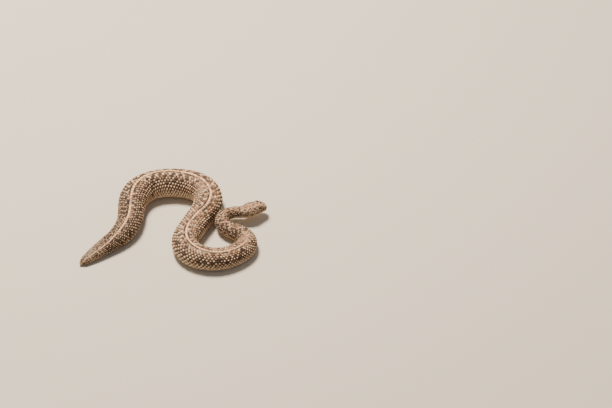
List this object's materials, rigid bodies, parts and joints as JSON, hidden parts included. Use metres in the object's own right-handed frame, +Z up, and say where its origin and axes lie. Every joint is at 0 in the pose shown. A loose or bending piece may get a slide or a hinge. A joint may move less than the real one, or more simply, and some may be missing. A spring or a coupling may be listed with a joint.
{
  "type": "still model of a Peringuey's adder",
  "caption": "Small sand-coloured adder lying in loose S-shaped swings, flat triangular head raised a little, with its eyes on top; a still model.",
  "frame": {"origin": "on the ground, below the middle of the outline seen from above", "axes": "+X along the longer side of the ground that the animal covers, the head towards +X and the tail towards -X; +Z up"},
  "size_m": [0.103, 0.0768, 0.0141],
  "materials": {
    "back_scales": "matt keeled scales, sand and grey-brown with a pale line along the back",
    "pale_scales": "smooth pale scales of the chin and belly",
    "eye": "wet and glossy, sand-gold with a dark upright pupil"
  },
  "bodies": {
    "root": {"head": "back_scales", "lower_jaw": "pale_scales", "eye_left": "eye", "eye_right": "eye", "neck_1": "back_scales", "neck_2": "back_scales", "trunk_1": "back_scales", "trunk_2": "back_scales", "trunk_3": "back_scales", "trunk_4": "back_scales", "trunk_5": "back_scales", "trunk_6": "back_scales", "trunk_7": "back_scales", "trunk_8": "back_scales", "tail": "back_scales"}
  },
  "joints": []
}
